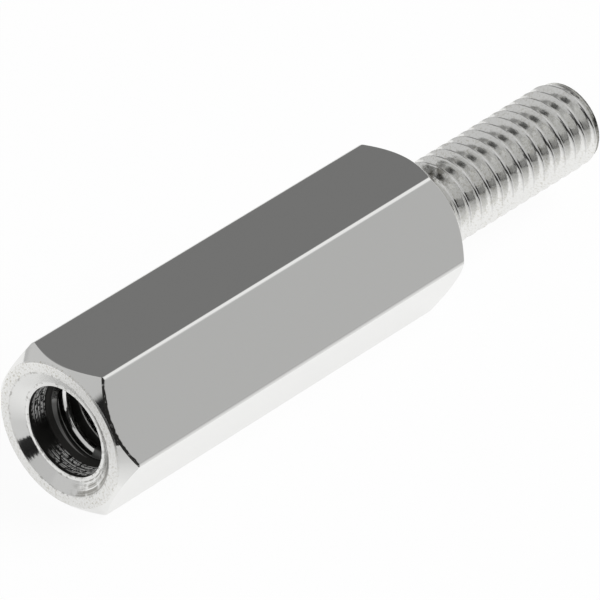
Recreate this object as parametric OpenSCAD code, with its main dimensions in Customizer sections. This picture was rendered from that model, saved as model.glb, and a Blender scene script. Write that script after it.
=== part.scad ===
// Male-female hex standoff, turned from one length of hexagon bar.
// It lies on one of its flats, with its axis along X: the threaded hole opens
// towards -X and the threaded stud points towards +X.

/* [Hex body] */
// Width of the hexagon across its flats
across_flats = 5; // [4.8:0.1:6]
// Length of the hexagon, from the end face to the shoulder
body_len = 15.5; // [12:0.5:30]
// Rounding of the hexagon's six long edges
edge_r = 0.12; // [0.05:0.01:0.3]
// How far the flat ring on each end stays inside the flats
ring_inset = 0.11; // [0.02:0.01:0.2]
// Slope of the end chamfers, in degrees from the end face
chamfer_slope = 45; // [20:5:60]

/* [Thread] */
// Distance from one turn of a thread to the next
pitch = 0.5; // [0.4:0.05:0.6]
// Width of the flat that a thread keeps at its widest, as a share of the pitch
crest_share = 0.125; // [0.1:0.025:0.2]
// Flat sides that stand for one round turn of a thread
turn_steps = 32; // [24:4:32]

/* [Stud] */
// Diameter over the stud's thread
stud_d = 2.9; // [2.8:0.05:3]
// Depth of the stud's thread, as a share of the pitch
stud_thread_share = 0.62; // [0.55:0.01:0.65]
// Length of the stud, from the shoulder to its tip
stud_len = 7.75; // [5:0.25:8.5]
// Length of the plain neck between the shoulder and the thread
neck_len = 0.5; // [0.3:0.1:2]
// Turns over which the stud's thread runs out into the neck
run_out_turns = 0.5; // [0.5:0.25:2]
// Length of the tapered end of the stud
tip_len = 0.25; // [0.1:0.05:0.5]
// Diameter of the flat at the stud's tip
tip_d = 2.7; // [2:0.1:2.7]
// Share of a turn that the stud's thread is turned back from its tip
stud_turn = 0.26; // [0:0.02:1]

/* [Threaded hole] */
// Depth of the drilled hole, without its point
drill_depth = 9.5; // [8:0.5:10]
// Angle of the drill's point, in degrees
drill_point_angle = 118; // [90:2:140]
// Diameter over the tapped thread
tap_d = 3; // [3:0.02:3.1]
// Length of plain drilled wall left below the tapped thread
untapped_len = 1.5; // [0.5:0.5:2.5]
// Turns over which the tap's tapered lead cuts its full depth
tap_lead_turns = 2; // [1:0.5:4]
// Share of a turn that the hole's thread is turned round from its mouth
hole_turn = 0.94; // [0:0.02:1]

/* [Mouth] */
// Diameter of the countersink at the end face
sink_d = 4.12; // [3.8:0.02:4.2]
// Angle of the countersink, in degrees
sink_angle = 120; // [90:10:130]
// Diameter over the flat ledge at the foot of the countersink
ledge_d = 3.24; // [3.2:0.02:3.5]
// Diameter of the plain counterbore below the ledge
counterbore_d = 3; // [2.8:0.02:3.1]
// Length of the plain counterbore
counterbore_len = 0.7; // [0.2:0.1:1.5]
// Slope of the bevel from the counterbore to the drilled hole, in degrees from the end face
bevel_slope = 45; // [30:5:60]

/* [Hidden] */

$fn = 96;
// Gap that keeps the flat-sided threads clear of the round walls beside them
facet_gap = 0.01;
// Narrow plain land between each thread and the mouth or tip that it starts from
land_len = 0.1;
// How far a cutting shape runs past the face that it opens
overcut = 0.5;

edge_steps = 4;
flank_slope = 30;
total_len = body_len + stud_len;
corner_r = across_flats / sqrt(3);
ring_r = across_flats / 2 - ring_inset;
chamfer_len = (corner_r - ring_r) * tan(chamfer_slope);
// A tap is given a drill of the thread's own diameter less one pitch
drill_d = tap_d - pitch;
ledge_depth = (sink_d - ledge_d) / 2 / tan(sink_angle / 2);
bevel_depth = ledge_depth + counterbore_len;
mouth_depth = bevel_depth + (counterbore_d - drill_d) / 2 * tan(bevel_slope);
tap_depth = drill_depth - untapped_len;
crest_w = crest_share * pitch;
stud_root_d = stud_d - 2 * stud_thread_share * pitch;

// The hexagon's outline with rounded corners, one flat square to the first axis
module rounded_hexagon() {
    centre_r = corner_r - edge_r / cos(30);
    polygon([
        for (corner = [30:60:330], step = [0:edge_steps])
            let (normal = corner - 30 + 60 * step / edge_steps)
            [centre_r * cos(corner) + edge_r * cos(normal), centre_r * sin(corner) + edge_r * sin(normal)]
    ]);
}

// Hexagon bar, faced and chamfered on a lathe at both ends
module hex_body() {
    intersection() {
        linear_extrude(body_len) rounded_hexagon();
        rotate_extrude() polygon([
            [0, 0], [ring_r, 0], [corner_r, chamfer_len],
            [corner_r, body_len - chamfer_len], [ring_r, body_len], [0, body_len]
        ]);
    }
}

// One turn's profile of a 60 degree thread, as [radius, height] corners.
// The profile grows out of radius base_r as full goes from 0 to 1.
function thread_profile(outer_r, inner_r, base_r, full) =
    let (flank = (outer_r - inner_r) * tan(flank_slope))
    [
        for (corner = [[outer_r, 0], [outer_r, crest_w], [inner_r, crest_w + flank], [inner_r, pitch - flank]])
            [base_r + (corner[0] - base_r) * full, corner[1]]
    ];

// Right-hand screw along +Z, one closed body that winds up from below z = 0.
// base_r is the radius that the thread grows out of over its first fade_turns.
module screw(outer_r, inner_r, base_r, fade_turns, len) {
    corners = 4;
    steps = ceil(len / pitch + 1) * turn_steps;
    fade_steps = fade_turns * turn_steps;

    // Corner of the profile at one step of the helix; past the last corner
    // comes the first corner of the turn above.
    function at(step, corner) =
        corner < corners ? step * corners + corner : (step + turn_steps) * corners;

    helix = [
        for (step = [0:steps + turn_steps])
            let (
                turn = 360 * step / turn_steps,
                full = min(max(step / turn_steps - 1, 0) * turn_steps / fade_steps, 1)
            )
            for (p = thread_profile(outer_r, inner_r, base_r, full))
                [p[0] * cos(turn), p[0] * sin(turn), p[1] + pitch * (step / turn_steps - 1)]
    ];
    foot = len(helix);
    head = foot + 1;
    poles = [[0, 0, -pitch], [0, 0, pitch * steps / turn_steps]];

    sides = [
        for (i = [0:steps - 1], j = [0:corners - 1])
            each [[at(i, j), at(i, j + 1), at(i + 1, j + 1)], [at(i, j), at(i + 1, j + 1), at(i + 1, j)]]
    ];
    foot_fan = [
        for (i = [0:turn_steps - 1]) [foot, at(i, 0), at(i + 1, 0)],
        for (j = [0:corners - 1]) [foot, at(0, j + 1), at(0, j)]
    ];
    head_fan = [
        for (i = [steps:steps + turn_steps - 1]) [head, at(i + 1, 0), at(i, 0)],
        for (j = [0:corners - 1]) [head, at(steps, j), at(steps, j + 1)]
    ];
    polyhedron(concat(helix, poles), concat(sides, foot_fan, head_fan));
}

// A slice of a screw, cut square at z = 0 and z = len
module screw_slice(outer_r, inner_r, base_r, fade_turns, len) {
    intersection() {
        screw(outer_r, inner_r, base_r, fade_turns, len);
        cylinder(r = outer_r + overcut, h = len);
    }
}

// Threaded stud, standing on z = 0: plain neck, thread, tapered tip
module stud() {
    stud_r = stud_d / 2;
    tip_start = stud_len - tip_len - land_len;
    thread_start = neck_len - land_len;
    crest_r = stud_r - facet_gap;
    translate([0, 0, -overcut]) cylinder(r = stud_r, h = neck_len + overcut);
    translate([0, 0, thread_start])
        rotate([0, 0, 360 * (stud_turn + (thread_start + crest_w / 2 - stud_len) / pitch)])
            screw_slice(crest_r, stud_root_d / 2, crest_r, run_out_turns, tip_start + land_len - thread_start);
    translate([0, 0, tip_start]) rotate_extrude() polygon([
        [0, 0], [stud_r, 0], [stud_r, land_len], [tip_d / 2, land_len + tip_len], [0, land_len + tip_len]
    ]);
}

// The blind threaded hole as a solid, from its drilled point up to its mouth at z = drill_depth
module threaded_hole() {
    drill_r = drill_d / 2;
    sink_r = sink_d / 2;
    point_len = drill_r / tan(drill_point_angle / 2);
    minor_r = drill_r / cos(180 / turn_steps) + facet_gap;
    rotate_extrude() polygon([
        [0, -point_len], [drill_r, 0], [drill_r, drill_depth - mouth_depth],
        [counterbore_d / 2, drill_depth - bevel_depth], [counterbore_d / 2, drill_depth - ledge_depth],
        [ledge_d / 2, drill_depth - ledge_depth],
        [sink_r, drill_depth], [sink_r, drill_depth + overcut], [0, drill_depth + overcut]
    ]);
    translate([0, 0, untapped_len])
        rotate([0, 0, 360 * (hole_turn - (tap_depth - crest_w / 2) / pitch)])
            screw_slice(tap_d / 2, minor_r, minor_r, tap_lead_turns, tap_depth - mouth_depth - land_len);
}

module standoff() {
    color("silver")
        translate([-total_len / 2, 0, across_flats / 2]) rotate([0, 90, 0]) {
            difference() {
                hex_body();
                translate([0, 0, drill_depth]) rotate([180, 0, 0]) threaded_hole();
            }
            translate([0, 0, body_len]) stud();
        }
}

standoff();
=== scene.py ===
import math

import bmesh
import bpy
from mathutils import Matrix, Vector


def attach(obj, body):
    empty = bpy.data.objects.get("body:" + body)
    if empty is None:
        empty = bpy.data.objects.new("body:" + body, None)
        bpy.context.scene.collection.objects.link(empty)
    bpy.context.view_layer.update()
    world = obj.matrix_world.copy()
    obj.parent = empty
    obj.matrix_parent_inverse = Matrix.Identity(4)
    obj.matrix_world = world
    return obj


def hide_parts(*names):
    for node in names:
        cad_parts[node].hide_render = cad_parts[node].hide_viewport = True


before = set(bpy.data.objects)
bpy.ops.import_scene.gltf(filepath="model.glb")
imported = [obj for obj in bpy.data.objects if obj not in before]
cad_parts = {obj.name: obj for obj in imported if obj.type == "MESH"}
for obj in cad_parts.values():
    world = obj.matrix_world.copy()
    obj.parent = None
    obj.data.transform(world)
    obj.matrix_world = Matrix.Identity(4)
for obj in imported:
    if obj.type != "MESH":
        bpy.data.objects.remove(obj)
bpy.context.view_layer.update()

# ---------------------------------------------------------------- sizes
MM = 0.001

# Hexagon bar
ACROSS_FLATS = 5.0 * MM
BODY_LEN = 15.5 * MM
EDGE_R = 0.22 * MM
RING_R = 2.39 * MM
CHAMFER_SLOPE = math.radians(45)

# Threads
PITCH = 0.5 * MM
OUTER_FLAT = PITCH / 8
FLANK = math.radians(30)

# Stud
STUD_LEN = 7.75 * MM
STUD_R = 1.45 * MM
STUD_ROOT_R = 1.14 * MM
NECK_LEN = 0.5 * MM
RUN_OUT = 0.4 * PITCH
STUD_TURN = 0.26
TIP_R = 1.35 * MM
TIP_LEN = 0.25 * MM

# Threaded hole
TAP_R = 1.5 * MM
DRILL_R = 1.25 * MM
DRILL_DEPTH = 9.5 * MM
DRILL_POINT = 0.751 * MM
TAP_DEPTH = 8.0 * MM
TAP_LEAD = 2 * PITCH
HOLE_TURN = 0.68
SINK_R = 2.06 * MM
SINK_SLOPE = math.tan(math.radians(60))
LEDGE_R = 1.62 * MM
LEDGE_DEPTH = (SINK_R - LEDGE_R) / SINK_SLOPE
COUNTERBORE_R = 1.5 * MM
BEVEL_DEPTH = LEDGE_DEPTH + 0.7 * MM
# How fast the bevel narrows from which the hole's thread starts, radius for length
ENTRY_SLOPE = 0.68

# Plated edges are never sharp: rounding of each kind of edge, of the hole's
# thread, and of the crests and the roots of the stud's
RING_ROUND = 0.045 * MM
CHAMFER_ROUND = 0.06 * MM
SINK_ROUND = 0.1 * MM
LEDGE_ROUND = 0.03 * MM
SHOULDER_ROUND = 0.06 * MM
TIP_ROUND = 0.05 * MM
HOLE_THREAD_ROUND = 0.03 * MM
STUD_CREST_ROUND = 0.06 * MM
STUD_ROOT_ROUND = 0.1 * MM

# Fineness of the meshes: steps round an edge, over a ridge, over a flat and round
# the axis, and rows for each turn of a thread
ROUND_STEPS = 5
RIDGE_STEPS = 6
FLAT_STEPS = 16
COLUMNS = 96
STUD_ROWS = 24
HOLE_ROWS = 16

# Gap between an edge's rounding and the line that guards the straight stretch
# beside it, and the gap under which points are merged
SUPPORT = 0.02 * MM
MERGE = 0.002 * MM

# The axis lies along X, at half the flats' width above the floor
TOTAL_LEN = BODY_LEN + STUD_LEN
FACE_X = -TOTAL_LEN / 2
AXIS_Z = ACROSS_FLATS / 2

# The bar's sharp corners, and the angle that each of its six sides takes
CORNER_R = ACROSS_FLATS / math.sqrt(3)
SECTOR = math.radians(60)


# ---------------------------------------------------------------- turned profiles
def axis_point(along, radius, angle):
    """A point at a distance along the axis, measured from the end face."""
    return Vector((FACE_X + along, radius * math.sin(angle), AXIS_Z - radius * math.cos(angle)))


def rounded(corners):
    """Points of an (along, radius) line whose corners, given with a third
    number, are rounded by it. Two points guard each straight stretch."""
    points = [corners[0][:2]]
    for before, corner, after in zip(corners, corners[1:], corners[2:]):
        here = Vector(corner[:2])
        to_before = Vector(before[:2]) - here
        to_after = Vector(after[:2]) - here
        half = (math.pi - to_before.angle(to_after)) / 2
        reach = corner[2] * math.tan(half)
        start = here + to_before.normalized() * reach
        end = here + to_after.normalized() * reach
        centre = here + (to_before.normalized() + to_after.normalized()).normalized() * (
            corner[2] / math.cos(half)
        )
        guard = min(SUPPORT, (to_before.length - reach) / 4)
        points.append(start + to_before.normalized() * guard)
        first = start - centre
        turn = first.angle_signed(end - centre)
        for step in range(ROUND_STEPS + 1):
            arm = first.copy()
            arm.rotate(Matrix.Rotation(-turn * step / ROUND_STEPS, 2))
            points.append(centre + arm)
        guard = min(SUPPORT, (to_after.length - reach) / 4)
        points.append(end + to_after.normalized() * guard)
    points.append(corners[-1][:2])
    return [tuple(p) for p in points]


def skin(bm, rings):
    """Joins closed rings of the same count, one after another, with quads."""
    for low, high in zip(rings, rings[1:]):
        for i in range(len(low)):
            j = (i + 1) % len(low)
            bm.faces.new((low[i], low[j], high[j], high[i]))


def turned(bm, profile):
    """Surface turned from an (along, radius) profile. Returns its rings."""
    rings = []
    for along, radius in profile:
        rings.append(
            [
                bm.verts.new(axis_point(along, radius, math.tau * i / COLUMNS))
                for i in range(COLUMNS)
            ]
        )
    skin(bm, rings)
    return rings


def cap(bm, ring, along):
    """Closes a ring with a fan around a point on the axis."""
    hub = bm.verts.new(axis_point(along, 0, 0))
    for i in range(len(ring)):
        bm.faces.new((ring[i], ring[(i + 1) % len(ring)], hub))


def by_angle(ring):
    """The ring's vertices in order round the axis, each with its angle."""
    return sorted(
        ((math.atan2(v.co.y, AXIS_Z - v.co.z) % math.tau, v) for v in ring), key=lambda pair: pair[0]
    )


def zip_rings(bm, first, second):
    """Fills the gap between two closed rings of any counts with triangles."""
    a, b = by_angle(first), by_angle(second)
    a.append((a[0][0] + math.tau, a[0][1]))
    b.append((b[0][0] + math.tau, b[0][1]))
    i = j = 0
    while i < len(a) - 1 or j < len(b) - 1:
        if j == len(b) - 1 or (i < len(a) - 1 and a[i + 1][0] <= b[j + 1][0]):
            bm.faces.new((a[i][1], a[i + 1][1], b[j][1]))
            i += 1
        else:
            bm.faces.new((a[i][1], b[j + 1][1], b[j][1]))
            j += 1


# ---------------------------------------------------------------- hexagon bar
def outline_angles():
    """Angles round the bar: close together over each ridge, and even over the flats."""
    arc = ridge_half_angle()
    guard = SUPPORT / CORNER_R
    one_side = [arc * step / (RIDGE_STEPS / 2) for step in range(RIDGE_STEPS // 2 + 1)]
    one_side.append(arc + guard)
    rest = SECTOR / 2 - one_side[-1]
    one_side += [one_side[-1] + rest * (step + 1) / (FLAT_STEPS / 2) for step in range(FLAT_STEPS // 2)]
    sector = [-a for a in reversed(one_side[1:])] + one_side[:-1]
    ridges = [SECTOR * (corner + 0.5) for corner in range(6)]
    return [(ridge, a) for ridge in ridges for a in sector]


def ridge_half_angle():
    """Half of the angle that a rounded ridge takes, seen from the axis."""
    centre = CORNER_R - EDGE_R / math.cos(SECTOR / 2)
    return math.atan2(EDGE_R / 2, centre + EDGE_R * math.cos(SECTOR / 2))


def outline_radius(a):
    """Distance from the axis to the outline, at an angle from a ridge."""
    centre = CORNER_R - EDGE_R / math.cos(SECTOR / 2)
    if abs(a) > ridge_half_angle():
        return ACROSS_FLATS / 2 / math.cos(SECTOR / 2 - abs(a))
    return centre * math.cos(a) + math.sqrt(EDGE_R**2 - (centre * math.sin(a)) ** 2)


def bar_profile(radius):
    """Profile of the bar from end to end, where its outline has this radius."""
    rise = (radius - RING_R) * math.tan(CHAMFER_SLOPE)
    inner = RING_R - 2 * RING_ROUND
    return rounded(
        [
            (0, inner),
            (0, RING_R, RING_ROUND),
            (rise, radius, CHAMFER_ROUND),
            (BODY_LEN - rise, radius, CHAMFER_ROUND),
            (BODY_LEN, RING_R, RING_ROUND),
            (BODY_LEN, inner),
        ]
    )


def hexagon_bar(bm):
    """The bar's flats, ridges and end chamfers. Returns its first and last ring."""
    columns = []
    for ridge, a in outline_angles():
        profile = bar_profile(outline_radius(a))
        columns.append([bm.verts.new(axis_point(s, r, ridge + a)) for s, r in profile])
    rings = [list(ring) for ring in zip(*columns)]
    skin(bm, rings)
    return rings[0], rings[-1]


# ---------------------------------------------------------------- threads
THREAD_INPUTS = {
    "Pitch": "NodeSocketFloat",
    "Outer Radius": "NodeSocketFloat",
    "Inner Radius": "NodeSocketFloat",
    "Outer Flat": "NodeSocketFloat",
    "Crest Rounding": "NodeSocketFloat",
    "Rounding": "NodeSocketFloat",
    "Start": "NodeSocketFloat",
    "End": "NodeSocketFloat",
    "Fade Length": "NodeSocketFloat",
    "Plain Radius": "NodeSocketFloat",
    "Taper Radius": "NodeSocketFloat",
    "Taper Slope": "NodeSocketFloat",
    "Inside": "NodeSocketBool",
    "Turn Offset": "NodeSocketFloat",
    "Columns": "NodeSocketInt",
    "Rows per Turn": "NodeSocketInt",
    "Merge Distance": "NodeSocketFloat",
    "Material": "NodeSocketMaterial",
}


def node_maker(tree):
    """A function that adds a node, fills or links its inputs, and returns it."""

    def add(kind, *values, **settings):
        node = tree.nodes.new(kind)
        for name, value in settings.items():
            setattr(node, name, value)
        for socket, value in zip(node.inputs, values):
            if isinstance(value, bpy.types.NodeSocket):
                tree.links.new(value, socket)
            elif value is not None:
                socket.default_value = value
        return node

    return add


def calculator(add):
    """A function that adds a maths node and returns its result."""

    def calc(operation, *values):
        return add("ShaderNodeMath", *values, operation=operation).outputs[0]

    return calc


def wound_sheet(add, calc, given):
    """The flat sheet that is wound into a thread: its columns go round, and its rows
    go along, one turn more than the length needs. Returns it with each point's share
    of a turn and distance along the axis."""
    length = calc("SUBTRACT", given["End"], given["Start"])
    turns = calc("CEIL", calc("DIVIDE", length, given["Pitch"]))
    turns = calc("ADD", turns, 1.0)
    rows = calc("ADD", calc("MULTIPLY", turns, given["Rows per Turn"]), 1.0)
    columns = calc("ADD", given["Columns"], 1.0)
    sheet = add("GeometryNodeMeshGrid", 1.0, 1.0, columns, rows).outputs["Mesh"]
    place = add("ShaderNodeSeparateXYZ", add("GeometryNodeInputPosition").outputs[0]).outputs
    round_share = calc("ADD", place["X"], 0.5)
    row_turn = calc("SUBTRACT", calc("MULTIPLY", calc("ADD", place["Y"], 0.5), turns), 1.0)

    wound = calc("MULTIPLY", calc("ADD", row_turn, round_share), given["Pitch"])
    wound = calc("ADD", wound, given["Start"])
    along = calc("MINIMUM", calc("MAXIMUM", wound, given["Start"]), given["End"])
    return sheet, round_share, along


def screw_radius(calc, given, round_share, along):
    """Radius of the 60 degree thread, from the distance to its nearest crest."""
    phase = calc("SUBTRACT", calc("DIVIDE", along, given["Pitch"]), round_share)
    phase = calc("SUBTRACT", phase, given["Turn Offset"])
    off_crest = calc("ABSOLUTE", calc("SUBTRACT", calc("FRACT", calc("ADD", phase, 0.5)), 0.5))
    off_crest = calc("MULTIPLY", off_crest, given["Pitch"])
    off_flat = calc("SUBTRACT", off_crest, calc("MULTIPLY", given["Outer Flat"], 0.5))
    flank = calc("SUBTRACT", given["Outer Radius"], calc("DIVIDE", off_flat, math.tan(FLANK)))
    capped = calc("SMOOTH_MIN", flank, given["Outer Radius"], given["Crest Rounding"])
    return calc("SMOOTH_MAX", capped, given["Inner Radius"], given["Rounding"])


def trimmed_radius(add, calc, given, full, along):
    """The thread's radius where it grows out of a plain one at the end where it runs
    out, and where the taper at its open end cuts it: a stud's from outside, and a
    hole's from inside."""
    grown = calc("DIVIDE", calc("SUBTRACT", given["End"], along), given["Fade Length"])
    grown = calc("MINIMUM", grown, 1.0)
    depth = calc("MULTIPLY", calc("SUBTRACT", full, given["Plain Radius"]), grown)
    radius = calc("ADD", given["Plain Radius"], depth)

    taper = calc("ADD", given["Taper Radius"], calc("MULTIPLY", along, given["Taper Slope"]))
    outside = calc("SMOOTH_MIN", radius, taper, given["Rounding"])
    inside = calc("SMOOTH_MAX", radius, taper, given["Rounding"])
    chosen = add("GeometryNodeSwitch", given["Inside"], outside, inside, input_type="FLOAT")
    return chosen.outputs[0]


def thread_tree():
    """Node tree that winds a thread from its open end along +X. Its rows follow
    the helix, so that every crest and root is one clean line."""
    tree = bpy.data.node_groups.new("wound_thread", "GeometryNodeTree")
    tree.interface.new_socket("Thread", in_out="OUTPUT", socket_type="NodeSocketGeometry")
    for name, kind in THREAD_INPUTS.items():
        tree.interface.new_socket(name, in_out="INPUT", socket_type=kind)
    add = node_maker(tree)
    calc = calculator(add)
    given = tree.nodes.new("NodeGroupInput").outputs

    sheet, round_share, along = wound_sheet(add, calc, given)
    full = screw_radius(calc, given, round_share, along)
    radius = trimmed_radius(add, calc, given, full, along)
    angle = calc("MULTIPLY", round_share, math.tau)
    y = calc("MULTIPLY", radius, calc("SINE", angle))
    z = calc("MULTIPLY", calc("MULTIPLY", radius, calc("COSINE", angle)), -1.0)
    where = add("ShaderNodeCombineXYZ", along, y, z).outputs[0]
    moved = add("GeometryNodeSetPosition", sheet, None, where).outputs[0]

    merged = add("GeometryNodeMergeByDistance", moved)
    tree.links.new(given["Merge Distance"], merged.inputs["Distance"])
    real = add("GeometryNodeRealizeInstances", merged.outputs[0]).outputs[0]
    finished = add("GeometryNodeSetMaterial", real)
    tree.links.new(given["Material"], finished.inputs["Material"])
    tree.links.new(finished.outputs[0], add("NodeGroupOutput").inputs[0])
    return tree


def wound_thread(name, tree, sizes, place):
    """The mesh that the tree makes from these sizes, moved to its place."""
    holder = bpy.data.objects.new(name, bpy.data.meshes.new(name))
    bpy.context.scene.collection.objects.link(holder)
    modifier = holder.modifiers.new("winding", "NODES")
    modifier.node_group = tree
    for item in tree.interface.items_tree:
        if item.in_out == "INPUT":
            modifier[item.identifier] = sizes[item.name]
    graph = bpy.context.evaluated_depsgraph_get()
    mesh = bpy.data.meshes.new_from_object(holder.evaluated_get(graph))
    mesh.transform(place)
    bpy.data.objects.remove(holder)
    return mesh


def add_thread(bm, mesh):
    """Adds a wound thread to the piece. Returns its end rings, lowest X first."""
    old = set(bm.verts)
    bm.from_mesh(mesh)
    bm.verts.ensure_lookup_table()
    rim = [v for v in bm.verts if v not in old and v.is_boundary]
    middle = (min(v.co.x for v in rim) + max(v.co.x for v in rim)) / 2
    return [v for v in rim if v.co.x < middle], [v for v in rim if v.co.x > middle]


# Inputs that both threads share
SHARED_SIZES = {
    "Pitch": PITCH,
    "Outer Flat": OUTER_FLAT,
    "Columns": COLUMNS,
    "Merge Distance": MERGE,
}


def stud_thread(tree, metal):
    """Thread of the stud, wound from its tip back to the plain neck."""
    sizes = SHARED_SIZES | {
        "Outer Radius": STUD_R,
        "Inner Radius": STUD_ROOT_R,
        "Crest Rounding": STUD_CREST_ROUND,
        "Rounding": STUD_ROOT_ROUND,
        "Start": TIP_ROUND / 2,
        "End": STUD_LEN - NECK_LEN,
        "Fade Length": RUN_OUT,
        "Plain Radius": STUD_R,
        "Taper Radius": TIP_R,
        "Taper Slope": (STUD_R - TIP_R) / TIP_LEN,
        "Turn Offset": STUD_TURN,
        "Inside": False,
        "Rows per Turn": STUD_ROWS,
        "Material": metal,
    }
    end = Matrix.Translation(axis_point(TOTAL_LEN, 0, 0)) @ Matrix.Rotation(math.pi, 4, "Z")
    return wound_thread("stud_thread", tree, sizes, end)


def hole_thread(tree, metal):
    """Thread of the hole, wound from its countersunk mouth inwards."""
    sizes = SHARED_SIZES | {
        "Outer Radius": TAP_R,
        "Inner Radius": DRILL_R,
        "Crest Rounding": HOLE_THREAD_ROUND,
        "Rounding": HOLE_THREAD_ROUND,
        "Start": BEVEL_DEPTH,
        "End": TAP_DEPTH,
        "Fade Length": TAP_LEAD,
        "Plain Radius": DRILL_R,
        "Taper Radius": COUNTERBORE_R + BEVEL_DEPTH * ENTRY_SLOPE,
        "Taper Slope": -ENTRY_SLOPE,
        "Turn Offset": HOLE_TURN,
        "Inside": True,
        "Rows per Turn": HOLE_ROWS,
        "Material": metal,
    }
    return wound_thread("hole_thread", tree, sizes, Matrix.Translation(axis_point(0, 0, 0)))


# ---------------------------------------------------------------- the piece
def end_face(bm, bar_ring, thread_ring):
    """Flat ring, countersink, the narrow ledge at its foot, and the plain counterbore."""
    outer = SINK_R + SINK_ROUND
    profile = rounded(
        [
            (0, outer),
            (0, SINK_R, SINK_ROUND),
            (LEDGE_DEPTH, LEDGE_R, LEDGE_ROUND),
            (LEDGE_DEPTH, COUNTERBORE_R, LEDGE_ROUND),
            (BEVEL_DEPTH - SUPPORT, COUNTERBORE_R),
        ]
    )
    rings = turned(bm, profile)
    zip_rings(bm, bar_ring, rings[0])
    zip_rings(bm, rings[-1], thread_ring)


def hole_bottom(bm, thread_ring):
    """Plain drilled wall below the thread, and the drill's point."""
    profile = [(TAP_DEPTH + SUPPORT, DRILL_R), (DRILL_DEPTH - SUPPORT, DRILL_R), (DRILL_DEPTH, DRILL_R)]
    rings = turned(bm, profile)
    zip_rings(bm, thread_ring, rings[0])
    cap(bm, rings[-1], DRILL_DEPTH + DRILL_POINT)


def neck(bm, bar_ring, thread_ring):
    """Shoulder face, the small radius at its foot, and the plain neck."""
    outer = STUD_R + 4 * SHOULDER_ROUND
    end = BODY_LEN + NECK_LEN - SUPPORT
    profile = rounded([(BODY_LEN, outer), (BODY_LEN, STUD_R, SHOULDER_ROUND), (end, STUD_R)])
    rings = turned(bm, profile)
    zip_rings(bm, bar_ring, rings[0])
    zip_rings(bm, rings[-1], thread_ring)


def tip(bm, thread_ring):
    """Faced end of the stud, rounded over into its taper."""
    edge = TOTAL_LEN - TIP_ROUND / 2
    edge_r = TIP_R + TIP_ROUND / 2 * (STUD_R - TIP_R) / TIP_LEN
    profile = rounded([(TOTAL_LEN, TIP_R / 2), (TOTAL_LEN, TIP_R, TIP_ROUND), (edge, edge_r)])
    rings = turned(bm, profile[:-1])
    cap(bm, rings[0], TOTAL_LEN)
    zip_rings(bm, rings[-1], thread_ring)


def build_standoff(metal):
    """One closed mesh: the bar, its threaded hole and its stud."""
    tree = thread_tree()
    bm = bmesh.new()
    near_ring, far_ring = hexagon_bar(bm)
    mouth, bottom = add_thread(bm, hole_thread(tree, metal))
    root, crown = add_thread(bm, stud_thread(tree, metal))
    end_face(bm, near_ring, mouth)
    hole_bottom(bm, bottom)
    neck(bm, far_ring, root)
    tip(bm, crown)
    bmesh.ops.recalc_face_normals(bm, faces=bm.faces)
    for face in bm.faces:
        face.smooth = True
    mesh = bpy.data.meshes.new("standoff_body")
    bm.to_mesh(mesh)
    bm.free()
    mesh.materials.clear()
    mesh.materials.append(metal)
    piece = bpy.data.objects.new("standoff_body", mesh)
    bpy.context.scene.collection.objects.link(piece)
    return piece


# ---------------------------------------------------------------- finishes
# Sound plating, its dull specks, its tarnish, and a near-black that paints shade on the unplated metal
# deep in the hole and along one edge
NICKEL = (0.86, 0.86, 0.845, 1)
STAINED_NICKEL = (0.58, 0.56, 0.49, 1)
TARNISH = (0.17, 0.16, 0.135, 1)
# Painted shade: near-black for the unplated metal deep in the hole and for one edge line
BARE_AND_SHADE_BLACK = (0.06, 0.059, 0.056, 1)

# Painted shade in the hole, where the metal is unplated: from this depth on the metal is painted
# near-black except within a radius, which widens past the thread's entry and narrows again further in
HOLE_SHADE_DEPTH = 0.285 * MM
NARROW_UNSHADED_R = 1.25 * MM
WIDE_UNSHADED_R = 1.46 * MM
UNSHADED_WIDENS = 0.37 * MM
UNSHADED_NARROWS = (0.85 * MM, 1.1 * MM)
HOLE_SHADE_FADE = 0.04 * MM
INSIDE_R = 1.6 * MM

# Painted shade on the thread's first turns: all but the flank that faces the mouth is painted
# near-black. The number of turns, that flank's share of the pitch, and the two heights beside the axis
# between which the painted shade spreads over most of that flank too, towards the bottom, with the
# share that it covers
SHADED_TURNS = 2.0
LIT_FLANK = 0.59
LOW_SIDE = (0.25 * MM, -0.1 * MM)
LOW_SHADE = 0.75

# The flat whose edge at the end chamfer is ragged and carries a painted shadow line in near-black, how
# wide that line is, how far it wanders and how fine its wandering is
RAGGED_FLAT = (0, -0.866, 0.5)
RAGGED_WIDTH = (0.012 * MM, 0.04 * MM)
RAGGED_WANDER = 0.1 * MM
RAGGED_FINENESS = 7000.0

# Here and below, each FINENESS is in marks a metre, and each pair of SHARES says
# where a mark begins and where it is full, in the noise that makes it

# Bright broken rings scraped into the counterbore: where they start, how fine
# they and their breaks are, how far they face the mouth, and the clean side
SCRAPED_DEPTH = (0.34 * MM, 0.5 * MM)
SCRAPE_FINENESS = 24000.0
SCRAPE_SHARES = (0.44, 0.57)
SCRAPE_TILT = 3.0
BREAK_FINENESS = 10000.0
BREAK_SHARES = (0.4, 0.54)
CLEAN_SIDE = (0, 0.819, -0.574)
CLEAN_FADE = (COUNTERBORE_R * 0.99, COUNTERBORE_R * 0.84)

# Roughness of the drawn flats, the turned surfaces, the stud, the streaked and the chattered side of
# the countersink, the faced ring, the bore and the unplated metal painted with shade, with the spread
# and the fineness of the duller patches on them all
DRAWN_ROUGHNESS = 0.1
TURNED_ROUGHNESS = 0.07
STUD_ROUGHNESS = 0.14
STREAKED_ROUGHNESS = 0.15
CHATTERED_ROUGHNESS = 0.26
FACED_ROUGHNESS = 0.26
BORED_ROUGHNESS = 0.42
BARE_AND_SHADE_ROUGHNESS = 0.6
ROUGHNESS_SPREAD = 0.05
PATCH_FINENESS = 700.0
TURNED_ANISOTROPY = 0.3

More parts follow.
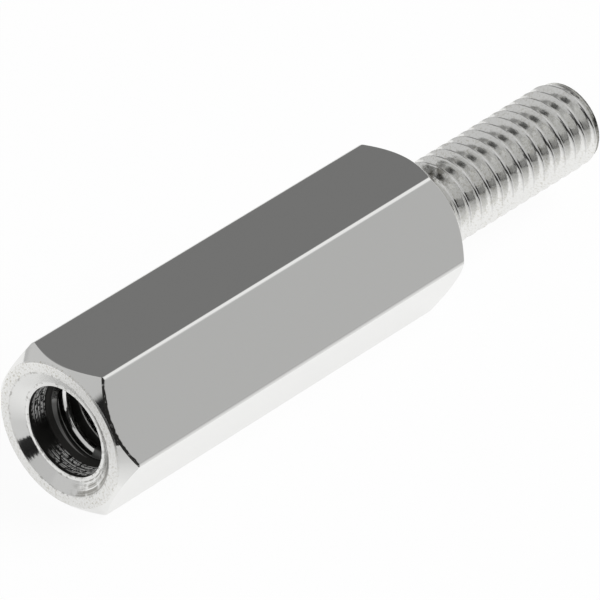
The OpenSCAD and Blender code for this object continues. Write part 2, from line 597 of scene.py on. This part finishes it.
# The sides of the countersink on which the tool has chattered and has left
# streaks, and where each of the two fades in
CHATTER_SIDE = (0, -0.174, 0.985)
CHATTER_FADE = (0.1 * MM, 0.9 * MM)
STREAK_SIDE = (0, -0.985, -0.174)
STREAK_FADE = (0.5 * MM, 1.2 * MM)

# Tarnished streaks on that side of the countersink
STREAK_FINENESS = 15000.0
STREAK_SHARES = (0.4, 0.6)
STREAK_PATCH_FINENESS = 2800.0
STREAK_PATCH_SHARES = (0.36, 0.56)
STREAK_STRENGTH = 0.75

# Scuff on the stud's first turns past the shoulder: its middle and size
SCUFF_AT = (FACE_X + BODY_LEN + 1.05 * MM, -0.15 * MM, AXIS_Z + 1.42 * MM)
SCUFF_SIZE = (0.25 * MM, 0.75 * MM)
SCUFF_FINENESS = 4500.0
SCUFF_SHARES = (0.45, 0.62)
SCUFF_STRENGTH = 0.8

# Burrs along the edges of the countersink and its ledge
BURR_WIDTH = (0.015 * MM, 0.045 * MM)
BURR_FINENESS = 7000.0
BURR_SHARES = (0.5, 0.65)
BURR_STRENGTH = 0.5

# Dull specks on the faced ring and, fewer, on the stud
SPECK_FINENESS = 13000.0
SPECK_SHARES = (0.48, 0.72)
SPECK_PATCH_SHARES = (0.3, 0.7)
SPECK_LEAST = 0.4
SPECK_SPREAD = 0.5
STUD_SPECKS = 0.65

# Relief: turning marks, which chatter and streaks deepen, drawing marks on the
# flats, wear on the stud, and the grain of the faced ring
TURNING_FINENESS = 14000.0
TURNING_HEIGHT = 0.0016 * MM
TURNING_PATCH_FINENESS = 1400.0
TURNING_LEAST = 0.3
CHATTER_HEIGHT = 0.004 * MM
STREAK_HEIGHT = 0.012 * MM
DRAWING_FINENESS = 9000.0
DRAWING_STRETCH = 0.01
DRAWING_HEIGHT = 0.0001 * MM
WEAR_FINENESS = 5000.0
WEAR_HEIGHT = 0.005 * MM
GRAIN_FINENESS = 16000.0
GRAIN_HEIGHT = 0.0012 * MM


class Places:
    """Sockets that tell a material where on the standoff it is."""

    def __init__(self, tree):
        self.add = node_maker(tree)
        self.spot = self.add("ShaderNodeTexCoord").outputs["Object"]
        centred = self.add("ShaderNodeVectorMath", self.spot, (0, 0, AXIS_Z), operation="SUBTRACT")
        across = self.add("ShaderNodeVectorMath", centred.outputs[0], (0, 1, 1), operation="MULTIPLY")
        self.across = across.outputs[0]
        length = self.add("ShaderNodeVectorMath", self.across, operation="LENGTH")
        self.radius = length.outputs["Value"]
        self.x = self.add("ShaderNodeSeparateXYZ", self.spot).outputs["X"]
        self.calc = calculator(self.add)

    def ramp(self, value, low, high):
        """0 below low, 1 above high, smooth between them."""
        return self.add(
            "ShaderNodeMapRange", value, low, high, interpolation_type="SMOOTHSTEP"
        ).outputs[0]

    def noise(self, vector, scale, detail=2.0, **settings):
        """Noise of this many marks a metre."""
        node = self.add("ShaderNodeTexNoise", vector, **settings)
        node.inputs["Scale"].default_value = scale
        node.inputs["Detail"].default_value = detail
        return node.outputs["Fac"]


def bare_and_shade_in_hole(at):
    """Painted shade in the hole: 0 where the plating is whole; 1 on the unplated metal inside the hole,
    clear of the thread's crests, which is painted near-black as shade.
    """
    near_axis = at.calc("LESS_THAN", at.radius, INSIDE_R)
    hole_half = at.calc("LESS_THAN", at.x, 0.0)
    deep = at.calc("GREATER_THAN", at.x, FACE_X + HOLE_SHADE_DEPTH)
    inside = at.calc("MULTIPLY", at.calc("MULTIPLY", near_axis, hole_half), deep)
    entry = FACE_X + BEVEL_DEPTH
    past_entry = at.ramp(at.x, entry, entry + UNSHADED_WIDENS)
    too_deep = at.ramp(at.x, *[entry + depth for depth in UNSHADED_NARROWS])
    wide = at.calc("SUBTRACT", past_entry, too_deep)
    limit = at.calc("MULTIPLY_ADD", wide, WIDE_UNSHADED_R - NARROW_UNSHADED_R, NARROW_UNSHADED_R)
    off_crest = at.ramp(at.calc("SUBTRACT", at.radius, limit), 0.0, HOLE_SHADE_FADE)
    off_crest = at.calc("MAXIMUM", off_crest, shade_on_first_turns(at))
    unscraped = at.calc("SUBTRACT", 1.0, scraped_rings(at))
    return at.calc("MULTIPLY", inside, at.calc("MULTIPLY", off_crest, unscraped))


def shade_on_first_turns(at):
    """Painted shade on the thread's first turns: 1 clear of the flank that faces the mouth, and on most
    of that flank towards the bottom.
    """
    place = at.add("ShaderNodeSeparateXYZ", at.across).outputs
    angle = at.calc("ARCTAN2", place["Y"], at.calc("MULTIPLY", place["Z"], -1.0))
    share = at.calc("FRACT", at.calc("DIVIDE", angle, math.tau))
    turns = at.calc("DIVIDE", at.calc("SUBTRACT", at.x, FACE_X), PITCH)
    turns = at.calc("SUBTRACT", turns, at.calc("ADD", share, HOLE_TURN))
    behind = at.calc("GREATER_THAN", at.calc("FRACT", turns), LIT_FLANK)
    # Painted shade: the flank turned away from the mouth, and the lower side, go dark
    first = at.calc("LESS_THAN", turns, SHADED_TURNS)
    low = at.calc("MULTIPLY", at.ramp(place["Z"], *LOW_SIDE), LOW_SHADE)
    return at.calc("MULTIPLY", first, at.calc("MAXIMUM", behind, low))


def scraped_rings(at):
    """Share of bright metal in the broken rings round the counterbore's inner half."""
    entry = at.calc("LESS_THAN", at.x, FACE_X + BEVEL_DEPTH)
    entry = at.calc("MULTIPLY", entry, at.calc("LESS_THAN", at.radius, INSIDE_R))
    deep = at.ramp(at.x, *[FACE_X + depth for depth in SCRAPED_DEPTH])
    side = at.add("ShaderNodeVectorMath", at.across, CLEAN_SIDE, operation="DOT_PRODUCT")
    off_side = at.ramp(side.outputs["Value"], *CLEAN_FADE)
    line = at.add("ShaderNodeCombineXYZ", at.x, at.radius).outputs[0]
    rings = at.ramp(at.noise(line, SCRAPE_FINENESS, 1.0, noise_dimensions="2D"), *SCRAPE_SHARES)
    breaks = at.ramp(at.noise(at.spot, BREAK_FINENESS, 3.0), *BREAK_SHARES)
    where = at.calc("MULTIPLY", at.calc("MULTIPLY", entry, deep), off_side)
    return at.calc("MULTIPLY", where, at.calc("MULTIPLY", rings, breaks))


def above_chamfer(at, from_end):
    """Height above the line where the chamfer ends, at a distance from the end."""
    chamfer = at.calc("MULTIPLY", at.calc("SUBTRACT", at.radius, RING_R), math.tan(CHAMFER_SLOPE))
    return at.calc("SUBTRACT", at.calc("MAXIMUM", chamfer, 0.0), from_end)


def ragged_edge_shadow(at):
    """Painted shadow: 1 along one flat's ragged edge at the end chamfer, where a dark line is painted.
    """
    out = at.add("ShaderNodeVectorMath", at.across, RAGGED_FLAT, operation="DOT_PRODUCT")
    on_flat = at.calc("GREATER_THAN", out.outputs["Value"], ACROSS_FLATS / 2 - CHAMFER_ROUND)
    above = above_chamfer(at, at.calc("SUBTRACT", at.x, FACE_X))
    wander = at.calc("SUBTRACT", at.noise(at.spot, RAGGED_FINENESS), 0.5)
    off = at.calc("ABSOLUTE", at.calc("MULTIPLY_ADD", wander, RAGGED_WANDER, above))
    line = at.calc("SUBTRACT", 1.0, at.ramp(off, *RAGGED_WIDTH))
    return at.calc("MULTIPLY", on_flat, line)


def turned_share(at):
    """1 on all that a lathe has cut, 0 on the drawn flats and ridges of the bar."""
    from_face = at.calc("SUBTRACT", at.x, FACE_X)
    from_shoulder = at.calc("SUBTRACT", FACE_X + BODY_LEN, at.x)
    above = above_chamfer(at, at.calc("MINIMUM", from_face, from_shoulder))
    on_chamfer = at.ramp(above, -CHAMFER_ROUND, 0.0)
    within = at.calc("LESS_THAN", at.radius, RING_R + CHAMFER_ROUND)
    return at.calc("MAXIMUM", on_chamfer, within)


def faced_share(at):
    """1 on the flat ring round the countersink."""
    near_face = at.calc("LESS_THAN", at.x, FACE_X + RING_ROUND)
    outside_sink = at.ramp(at.radius, SINK_R - SINK_ROUND, SINK_R + SINK_ROUND)
    return at.calc("MULTIPLY", near_face, outside_sink)


def sunk_share(at, side, fade):
    """1 on one side of the countersink."""
    within = at.calc("LESS_THAN", at.radius, SINK_R)
    outside = at.calc("GREATER_THAN", at.radius, LEDGE_R)
    near_face = at.calc("LESS_THAN", at.x, FACE_X + LEDGE_DEPTH)
    far = at.add("ShaderNodeVectorMath", at.across, side, operation="DOT_PRODUCT")
    sunk = at.calc("MULTIPLY", at.calc("MULTIPLY", within, outside), near_face)
    return at.calc("MULTIPLY", sunk, at.ramp(far.outputs["Value"], *fade))


def burrs(at):
    """Fine broken burrs along the edges of the countersink and its ledge."""
    lines = 0.0
    for edge_r in (COUNTERBORE_R + LEDGE_ROUND, LEDGE_R, SINK_R):
        off = at.calc("ABSOLUTE", at.calc("SUBTRACT", at.radius, edge_r))
        line = at.calc("SUBTRACT", 1.0, at.ramp(off, *BURR_WIDTH))
        lines = at.calc("ADD", line, lines)
    near_face = at.calc("LESS_THAN", at.x, FACE_X + HOLE_SHADE_DEPTH)
    breaks = at.ramp(at.noise(at.spot, BURR_FINENESS), *BURR_SHARES)
    broken = at.calc("MULTIPLY", at.calc("MULTIPLY", lines, near_face), breaks)
    return at.calc("MULTIPLY", broken, BURR_STRENGTH)


def stud_share(at):
    """1 on the stud."""
    return at.calc("GREATER_THAN", at.x, FACE_X + BODY_LEN + SUPPORT)


def bored_share(at):
    """1 on the wall of the plain counterbore."""
    wide = at.calc("GREATER_THAN", at.radius, COUNTERBORE_R - LEDGE_ROUND)
    in_hole = at.calc("LESS_THAN", at.radius, INSIDE_R)
    deep = at.calc("GREATER_THAN", at.x, FACE_X + HOLE_SHADE_DEPTH)
    near_face = at.calc("LESS_THAN", at.x, FACE_X + BEVEL_DEPTH)
    wall = at.calc("MULTIPLY", wide, in_hole)
    return at.calc("MULTIPLY", wall, at.calc("MULTIPLY", deep, near_face))


def turning_marks(at):
    """Fine rings left by the lathe's tool, deeper in some places than in others."""
    rings = at.add("ShaderNodeCombineXYZ", at.x, at.radius).outputs[0]
    fine = at.noise(rings, TURNING_FINENESS, 3.0, noise_dimensions="2D")
    patches = at.noise(at.spot, TURNING_PATCH_FINENESS)
    return at.calc("MULTIPLY", fine, at.calc("ADD", patches, TURNING_LEAST))


def drawing_marks(at):
    """Faint lines that the drawing die leaves along the flats."""
    stretched = at.add(
        "ShaderNodeVectorMath", at.spot, (DRAWING_STRETCH, 1, 1), operation="MULTIPLY"
    ).outputs[0]
    return at.noise(stretched, DRAWING_FINENESS, 3.0)


def blend(at, share, first, second, kind="FLOAT"):
    """One number or colour or the other, by a share."""
    node = at.add("ShaderNodeMix", share, data_type=kind)
    for socket, value in ((node.inputs["A"], first), (node.inputs["B"], second)):
        if isinstance(value, bpy.types.NodeSocket):
            node.id_data.links.new(value, socket)
        else:
            socket.default_value = value
    return node.outputs["Result"]


def surface_relief(at, turned, faced, chattered, streaked):
    """Height of all the fine marks together."""
    height = blend(at, streaked, blend(at, chattered, TURNING_HEIGHT, CHATTER_HEIGHT), STREAK_HEIGHT)
    turning = at.calc("MULTIPLY", turning_marks(at), height)
    worn = at.calc("MULTIPLY", stud_share(at), WEAR_HEIGHT)
    worn = at.calc("MULTIPLY", at.noise(at.spot, WEAR_FINENESS), worn)
    turning = at.calc("ADD", turning, worn)
    drawing = at.calc("MULTIPLY", drawing_marks(at), DRAWING_HEIGHT)
    grain = at.calc("MULTIPLY", at.noise(at.spot, GRAIN_FINENESS, 3.0), GRAIN_HEIGHT)
    marks = blend(at, turned, drawing, turning)
    return blend(at, faced, marks, at.calc("ADD", marks, grain))


def surface_roughness(at, finishes):
    """Roughness of the drawn bar, then of each finish over the ones before it, and
    patches on them all."""
    patches = at.noise(at.spot, PATCH_FINENESS, 3.0)
    spread = at.calc("MULTIPLY", at.calc("SUBTRACT", patches, 0.5), ROUGHNESS_SPREAD)
    base = DRAWN_ROUGHNESS
    for share, roughness in finishes:
        base = blend(at, share, base, roughness)
    return at.calc("ADD", base, spread)


def speckle(at, faced):
    """Fine dull specks on the faced ring, and fewer on the stud."""
    specks = at.ramp(at.noise(at.spot, SPECK_FINENESS), *SPECK_SHARES)
    patches = at.ramp(at.noise(at.spot, PATCH_FINENESS), *SPECK_PATCH_SHARES)
    some = at.calc("MULTIPLY_ADD", patches, SPECK_SPREAD, SPECK_LEAST)
    where = at.calc("MAXIMUM", faced, at.calc("MULTIPLY", stud_share(at), STUD_SPECKS))
    return at.calc("MULTIPLY", at.calc("MULTIPLY", specks, some), where)


def tarnished_streaks(at, streaked):
    """Dark streaks along the countersink's turning marks."""
    rings = at.add("ShaderNodeCombineXYZ", at.x, at.radius).outputs[0]
    fine = at.ramp(at.noise(rings, STREAK_FINENESS, noise_dimensions="2D"), *STREAK_SHARES)
    patches = at.ramp(at.noise(at.spot, STREAK_PATCH_FINENESS), *STREAK_PATCH_SHARES)
    streaks = at.calc("MULTIPLY", at.calc("MULTIPLY", streaked, fine), patches)
    return at.calc("MULTIPLY", streaks, STREAK_STRENGTH)


def stud_scuff(at):
    """Broken dark scuff on the stud's first turns."""
    off = at.add("ShaderNodeVectorMath", at.spot, SCUFF_AT, operation="DISTANCE").outputs["Value"]
    near = at.calc("SUBTRACT", 1.0, at.ramp(off, *SCUFF_SIZE))
    broken = at.ramp(at.noise(at.spot, SCUFF_FINENESS, 3.0), *SCUFF_SHARES)
    return at.calc("MULTIPLY", at.calc("MULTIPLY", near, broken), SCUFF_STRENGTH)


def tarnish(at, streaked):
    """All that is tarnished: the streaks, the scuff and the burrs."""
    marks = at.calc("MAXIMUM", tarnished_streaks(at, streaked), stud_scuff(at))
    return at.calc("MAXIMUM", marks, burrs(at))


def lathe_direction(at):
    """The direction across the turning marks, in the surface."""
    round_axis = at.add("ShaderNodeVectorMath", at.across, (1, 0, 0), operation="CROSS_PRODUCT")
    normal = at.add("ShaderNodeNewGeometry").outputs["Normal"]
    crossed = at.add(
        "ShaderNodeVectorMath", normal, round_axis.outputs[0], operation="CROSS_PRODUCT"
    )
    return at.add("ShaderNodeVectorMath", crossed.outputs[0], operation="NORMALIZE").outputs[0]


def scraped_normal(at, normal):
    """The scraped rings face the hole's mouth; the rest keeps its normal."""
    tilt = at.calc("MULTIPLY", scraped_rings(at), -SCRAPE_TILT)
    lean = at.add("ShaderNodeCombineXYZ", tilt).outputs[0]
    leaning = at.add("ShaderNodeVectorMath", normal, lean, operation="ADD").outputs[0]
    return at.add("ShaderNodeVectorMath", leaning, operation="NORMALIZE").outputs[0]


def plate_colour(at, faced, streaked, bare_and_shade):
    """Sound plating, then its specks, its tarnish, and over it the near-black of painted shade on the
    unplated metal.
    """
    colour = blend(at, speckle(at, faced), NICKEL, STAINED_NICKEL, "RGBA")
    colour = blend(at, tarnish(at, streaked), colour, TARNISH, "RGBA")
    # Painted shade: the near-black goes over the hole's unplated metal and one flat's edge line
    return blend(at, bare_and_shade, colour, BARE_AND_SHADE_BLACK, "RGBA")


def nickel_plate():
    """Bright nickel plating over turned and drawn brass; the brass stays unplated down the hole and is
    painted near-black there as shade.
    """
    material = bpy.data.materials.new("bright_nickel_plate")
    material.use_nodes = True
    tree = material.node_tree
    at = Places(tree)
    shader = tree.nodes["Principled BSDF"]
    turned, faced = turned_share(at), faced_share(at)
    chattered = sunk_share(at, CHATTER_SIDE, CHATTER_FADE)
    streaked = sunk_share(at, STREAK_SIDE, STREAK_FADE)
    # Painted shade: the hole's unplated metal and one flat's edge line take a near-black colour
    bare_and_shade = at.calc("MAXIMUM", bare_and_shade_in_hole(at), ragged_edge_shadow(at))
    finishes = [
        (turned, TURNED_ROUGHNESS),
        (stud_share(at), STUD_ROUGHNESS),
        (streaked, STREAKED_ROUGHNESS),
        (chattered, CHATTERED_ROUGHNESS),
        (faced, FACED_ROUGHNESS),
        (bored_share(at), BORED_ROUGHNESS),
        (bare_and_shade, BARE_AND_SHADE_ROUGHNESS),
    ]
    shader.inputs["Metallic"].default_value = 1.0
    tree.links.new(plate_colour(at, faced, streaked, bare_and_shade), shader.inputs["Base Color"])
    tree.links.new(surface_roughness(at, finishes), shader.inputs["Roughness"])
    marked = at.calc("MAXIMUM", chattered, streaked)
    stretch = at.calc("MAXIMUM", at.calc("MULTIPLY", turned, TURNED_ANISOTROPY), marked)
    tree.links.new(stretch, shader.inputs["Anisotropic"])
    tree.links.new(lathe_direction(at), shader.inputs["Tangent"])

    bump = at.add("ShaderNodeBump")
    bump.inputs["Distance"].default_value = 1.0
    relief = surface_relief(at, turned, faced, chattered, streaked)
    tree.links.new(relief, bump.inputs["Height"])
    tree.links.new(scraped_normal(at, bump.outputs[0]), shader.inputs["Normal"])
    return material


# ---------------------------------------------------------------- studio
# Paper: its size in metres, its white, and the share of real light that the eye
# and the metal see on it
PAPER_SIZE = 6.0
PAPER_WHITE = 0.9
EYE_SHADOW = 0.05
METAL_SHADOW = 0.22

# Grey of the light that the world sheds on matt surfaces
WORLD_GREY = 0.35

# Lamp: azimuth and elevation in degrees, distance and size in metres, and watts
LAMP_FROM = (-50, 45)
LAMP_DISTANCE = 0.6
LAMP_SIZE = 0.5
LAMP_POWER = 3.3

# Camera: the point it looks at, its azimuth and elevation in degrees from there,
# its distance, its roll in degrees, and its lens and sensor in millimetres
CAMERA_TARGET = Vector((-0.953, 0.010, 2.0)) * MM
CAMERA_FROM = (-137.638, 34.033)
CAMERA_DISTANCE = 220.098 * MM
CAMERA_ROLL = -0.213
CAMERA_LENS = 430.79
CAMERA_SENSOR = 36.0
CAMERA_CLIP = (0.01, 20)

# Tent over the part: its radius in metres, its fineness, and its greys from its
# foot to its top, as (height share, grey)
TENT_R = 1.0
TENT_SEGMENTS = 64
TENT_RINGS = 32
TENT_GREYS = [(0.0, 0.52), (0.3, 0.56), (0.6, 0.56), (1.0, 0.6)]

# Cards seen in the metal: azimuth and elevation of the middle in degrees from
# the part, width and height in degrees as seen from it, grey, and the share of
# the card that its feathered edge takes
CARD_DISTANCE = 0.4
CARDS = {
    "front_grey_card": (-50, 17, 28, 26, 0.49, 0.1),
    "front_upper_card": (-40, 66, 50, 14, 0.45, 0.3),
    "front_white_card": (-21, 45, 50, 48, 0.92, 0.7),
    "back_dark_card": (48, 38, 50, 54, 0.19, 0.15),
    "zenith_dark_card": (41, 77, 36, 23, 0.06, 0.45),
    "side_pale_card": (128, 20, 60, 50, 0.6, 0.2),
    "back_left_card": (88, 50, 46, 30, 0.28, 0.5),
    "camera_black_card": (-148, 12, 24, 54, 0.015, 0.32),
    "left_black_card": (-168.5, 0, 23, 22, 0.015, 0.08),
    "horizon_black_band": (-130, 0, 100, 14, 0.02, 0.1),
    "front_black_card": (-112, 8, 46, 30, 0.02, 0.15),
    "front_dark_card": (-77, 7, 24, 28, 0.25, 0.3),
}

# Cards that lean over, in degrees
CARD_LEAN = {"camera_black_card": -30}

# Black sheet on the floor in front of the hole, seen in the metal only. The two
# shades lie just below it.
SHEET_NEAR_EDGE = [
    (-22.5 * MM, 3 * MM),
    (-23 * MM, -6 * MM),
    (-22.5 * MM, -12.5 * MM),
    (30 * MM, -60 * MM),
]
SHEET_REACH = 0.6
SHEET_GREY = 0.02
SHEET_HEIGHT = 0.05 * MM

# Shade on the floor in front, seen in the metal only: where it starts, where it
# is full, and how fast it grows away from the part
SHADE_X = (-26 * MM, -18 * MM)
SHADE_Y = (-3 * MM, -13 * MM)
SHADE_GROWTH = 0.6
SHADE_GREY = 0.46
SHADE_HEIGHT = SHEET_HEIGHT / 2

# Fainter shade on the floor to the left of the end face, seen in the metal only
RING_SHADE_X = (-13.2 * MM, -16.5 * MM)
RING_SHADE_Y = (6 * MM, 3.5 * MM)
RING_SHADE_FRONT = (-9 * MM, -3 * MM)
RING_SHADE_REACH = 24 * MM
RING_SHADE_SHARE = 0.6
RING_SHADE_GREY = 0.45
RING_SHADE_HEIGHT = SHEET_HEIGHT * 0.75


def grey(value):
    return (value, value, value, 1)


def direction(azimuth, elevation):
    """Unit vector; azimuth in degrees from +X towards +Y, elevation above the floor."""
    a, e = math.radians(azimuth), math.radians(elevation)
    return Vector((math.cos(a) * math.cos(e), math.sin(a) * math.cos(e), math.sin(e)))


def stand(thing, spot, facing, roll=0.0):
    """Stands a thing at a spot with its own +Z along a direction, rolled by degrees."""
    turn = facing.to_track_quat("Z", "Y").to_matrix().to_4x4()
    rolled = Matrix.Rotation(math.radians(roll), 4, "Z")
    thing.matrix_world = Matrix.Translation(spot) @ turn @ rolled


def seen_by_eye_or_mirror(tree):
    """1 for rays from the camera, from metal and through glass."""
    add = node_maker(tree)
    calc = calculator(add)
    path = add("ShaderNodeLightPath").outputs
    either = calc("MAXIMUM", path["Is Camera Ray"], path["Is Glossy Ray"])
    return calc("MAXIMUM", either, path["Is Transmission Ray"])


def white_world():
    """White backdrop, and a plain light on everything matt."""
    world = bpy.data.worlds.new("studio")
    bpy.context.scene.world = world
    world.use_nodes = True
    tree = world.node_tree
    shade = node_maker(tree)("ShaderNodeMix", data_type="RGBA")
    shade.inputs["A"].default_value = grey(WORLD_GREY)
    shade.inputs["B"].default_value = grey(1.0)
    tree.links.new(seen_by_eye_or_mirror(tree), shade.inputs["Factor"])
    tree.links.new(shade.outputs["Result"], tree.nodes["Background"].inputs["Color"])


def staged(name, mesh, material):
    """An object of the studio, which isn't part of the standoff."""
    mesh.materials.append(material)
    thing = bpy.data.objects.new(name, mesh)
    bpy.context.scene.collection.objects.link(thing)
    return thing


def only_in_metal(thing):
    """Leaves a card to be seen in the metal, and nowhere else."""
    thing.visible_camera = False
    thing.visible_diffuse = False
    thing.visible_transmission = False
    thing.visible_volume_scatter = False
    thing.visible_shadow = False


def emptied(name):
    """A new material with no nodes but its output."""
    material = bpy.data.materials.new(name)
    material.use_nodes = True
    material.node_tree.nodes.clear()
    output = material.node_tree.nodes.new("ShaderNodeOutputMaterial")
    return material, material.node_tree, output.inputs["Surface"]


def glow_over(tree, surface, share, value):
    """A plain grey glow, by a share, over what lies behind it."""
    add = node_maker(tree)
    clear = add("ShaderNodeBsdfTransparent").outputs[0]
    glow = add("ShaderNodeEmission", grey(value), 1.0).outputs[0]
    tree.links.new(add("ShaderNodeMixShader", share, clear, glow).outputs[0], surface)


def rectangle(name, low, high, height=0.0):
    """A level rectangle between two corners."""
    (left, near), (right, far) = low, high
    corners = [(left, near, height), (right, near, height), (right, far, height), (left, far, height)]
    mesh = bpy.data.meshes.new(name)
    mesh.from_pydata(corners, [], [(0, 1, 2, 3)])
    return mesh


def paper():
    """White paper: its own white, with a share of real light so that shadows show.
    The metal sees more of them than the eye does."""
    material, tree, surface = emptied("white_paper")
    add = node_maker(tree)
    calc = calculator(add)
    matt = add("ShaderNodeBsdfDiffuse", grey(PAPER_WHITE)).outputs[0]
    white = add("ShaderNodeEmission", grey(1.0), 1.0).outputs[0]
    eye = add("ShaderNodeLightPath").outputs["Is Camera Ray"]
    own_white = calc("ADD", calc("MULTIPLY", eye, METAL_SHADOW - EYE_SHADOW), 1 - METAL_SHADOW)
    share = calc("MULTIPLY", seen_by_eye_or_mirror(tree), own_white)
    tree.links.new(add("ShaderNodeMixShader", share, matt, white).outputs[0], surface)
    half = PAPER_SIZE / 2
    staged("paper", rectangle("paper", (-half, -half), (half, half)), material)


def tent():
    """Pale tent over the part, a little brighter towards its top."""
    material, tree, surface = emptied("tent_cloth")
    add = node_maker(tree)
    spot = add("ShaderNodeTexCoord").outputs["Object"]
    height = add("ShaderNodeSeparateXYZ", spot).outputs["Z"]
    share = add("ShaderNodeMath", height, TENT_R, operation="DIVIDE").outputs[0]
    ramp = add("ShaderNodeValToRGB", share)
    stops = ramp.color_ramp.elements
    for stop, (at, value) in zip(stops, (TENT_GREYS[0], TENT_GREYS[-1])):
        stop.position = at
        stop.color = grey(value)
    for at, value in TENT_GREYS[1:-1]:
        stops.new(at).color = grey(value)
    tree.links.new(add("ShaderNodeEmission", ramp.outputs[0], 1.0).outputs[0], surface)
    bm = bmesh.new()
    bmesh.ops.create_uvsphere(bm, u_segments=TENT_SEGMENTS, v_segments=TENT_RINGS, radius=TENT_R)
    below = [v for v in bm.verts if v.co.z < -MM]
    bmesh.ops.delete(bm, geom=below, context="VERTS")
    mesh = bpy.data.meshes.new("tent")
    bm.to_mesh(mesh)
    bm.free()
    only_in_metal(staged("tent", mesh, material))


def feathered(tree, half_wide, half_high, feather):
    """1 over a card, falling to 0 across the outer share of its two sizes."""
    add = node_maker(tree)
    spot = add("ShaderNodeTexCoord").outputs["Object"]
    place = add("ShaderNodeSeparateXYZ", spot).outputs
    shares = []
    for socket, half in ((place["X"], half_wide), (place["Y"], half_high)):
        out = add("ShaderNodeMath", socket, operation="ABSOLUTE").outputs[0]
        fade = add("ShaderNodeMapRange", out, half * (1 - feather), half, 1.0, 0.0)
        fade.interpolation_type = "SMOOTHSTEP"
        shares.append(fade.outputs[0])
    return add("ShaderNodeMath", *shares, operation="MULTIPLY").outputs[0]


def card(name, azimuth, elevation, wide, high, value, feather):
    """A card with soft edges that faces the part from one side."""
    x = CARD_DISTANCE * math.tan(math.radians(wide / 2))
    y = CARD_DISTANCE * math.tan(math.radians(high / 2))
    material, tree, surface = emptied(name)
    glow_over(tree, surface, feathered(tree, x, y, feather), value)
    thing = staged(name, rectangle(name, (-x, -y), (x, y)), material)
    away = direction(azimuth, elevation)
    stand(thing, Vector((0, 0, AXIS_Z)) + away * CARD_DISTANCE, -away, CARD_LEAN.get(name, 0))
    only_in_metal(thing)


def black_sheet():
    """Black sheet on the floor, which starts a little in front of the hole."""
    material, tree, surface = emptied("black_sheet")
    black = node_maker(tree)("ShaderNodeEmission", grey(SHEET_GREY), 1.0)
    tree.links.new(black.outputs[0], surface)
    near = [Vector((x, y, SHEET_HEIGHT)) for x, y in SHEET_NEAR_EDGE]
    far = [spot.normalized() * SHEET_REACH for spot in near]
    for spot in far:
        spot.z = SHEET_HEIGHT
    count = len(near)
    faces = [(i, i + 1, count + i + 1, count + i) for i in range(count - 1)]
    mesh = bpy.data.meshes.new("black_sheet")
    mesh.from_pydata(near + far, [], faces)
    only_in_metal(staged("black_sheet", mesh, material))


def floor_shade():
    """A soft shade that lies on the floor in front and deepens away from the part."""
    material, tree, surface = emptied("floor_shade")
    add = node_maker(tree)
    calc = calculator(add)
    place = add("ShaderNodeSeparateXYZ", add("ShaderNodeTexCoord").outputs["Object"]).outputs
    across = add("ShaderNodeMapRange", place["X"], *SHADE_X, interpolation_type="SMOOTHSTEP")
    away = add("ShaderNodeMapRange", place["Y"], *SHADE_Y)
    share = calc("MULTIPLY", across.outputs[0], calc("POWER", away.outputs[0], SHADE_GROWTH))
    glow_over(tree, surface, share, SHADE_GREY)
    low, high = (SHADE_X[0], -SHEET_REACH), (SHEET_REACH, SHADE_Y[0])
    mesh = rectangle("floor_shade", low, high, SHADE_HEIGHT)
    only_in_metal(staged("floor_shade", mesh, material))


def ring_shade():
    """A faint shade on the floor to the left, which the ring and countersink see."""
    material, tree, surface = emptied("ring_shade")
    add = node_maker(tree)
    place = add("ShaderNodeSeparateXYZ", add("ShaderNodeTexCoord").outputs["Object"]).outputs
    share = RING_SHADE_SHARE
    for axis, limits in (("X", RING_SHADE_X), ("Y", RING_SHADE_Y), ("Y", RING_SHADE_FRONT)):
        fade = add("ShaderNodeMapRange", place[axis], *limits, interpolation_type="SMOOTHSTEP")
        share = add("ShaderNodeMath", fade.outputs[0], share, operation="MULTIPLY").outputs[0]
    glow_over(tree, surface, share, RING_SHADE_GREY)
    low, high = (-RING_SHADE_REACH, RING_SHADE_FRONT[0]), (RING_SHADE_X[0], RING_SHADE_Y[0])
    mesh = rectangle("ring_shade", low, high, RING_SHADE_HEIGHT)
    only_in_metal(staged("ring_shade", mesh, material))


def lamp():
    """One large soft lamp overhead, for the light on matt surfaces and the shadow."""
    data = bpy.data.lights.new("soft_lamp", "AREA")
    data.shape = "DISK"
    data.size = LAMP_SIZE
    data.energy = LAMP_POWER
    thing = bpy.data.objects.new("soft_lamp", data)
    bpy.context.scene.collection.objects.link(thing)
    away = direction(*LAMP_FROM)
    stand(thing, away * LAMP_DISTANCE, away)
    thing.visible_glossy = False


def camera():
    """Long lens from in front of the hole, above the floor."""
    data = bpy.data.cameras.new("camera")
    data.lens = CAMERA_LENS
    data.sensor_width = CAMERA_SENSOR
    data.clip_start, data.clip_end = CAMERA_CLIP
    thing = bpy.data.objects.new("camera", data)
    bpy.context.scene.collection.objects.link(thing)
    back = direction(*CAMERA_FROM)
    stand(thing, CAMERA_TARGET + back * CAMERA_DISTANCE, back, CAMERA_ROLL)
    bpy.context.scene.camera = thing


bpy.context.scene.view_settings.view_transform = "Standard"
camera()
white_world()
lamp()
paper()
tent()
for name, place in CARDS.items():
    card(name, *place)
black_sheet()
floor_shade()
ring_shade()

standoff = build_standoff(nickel_plate())
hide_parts("standoff")
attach(standoff, "root")
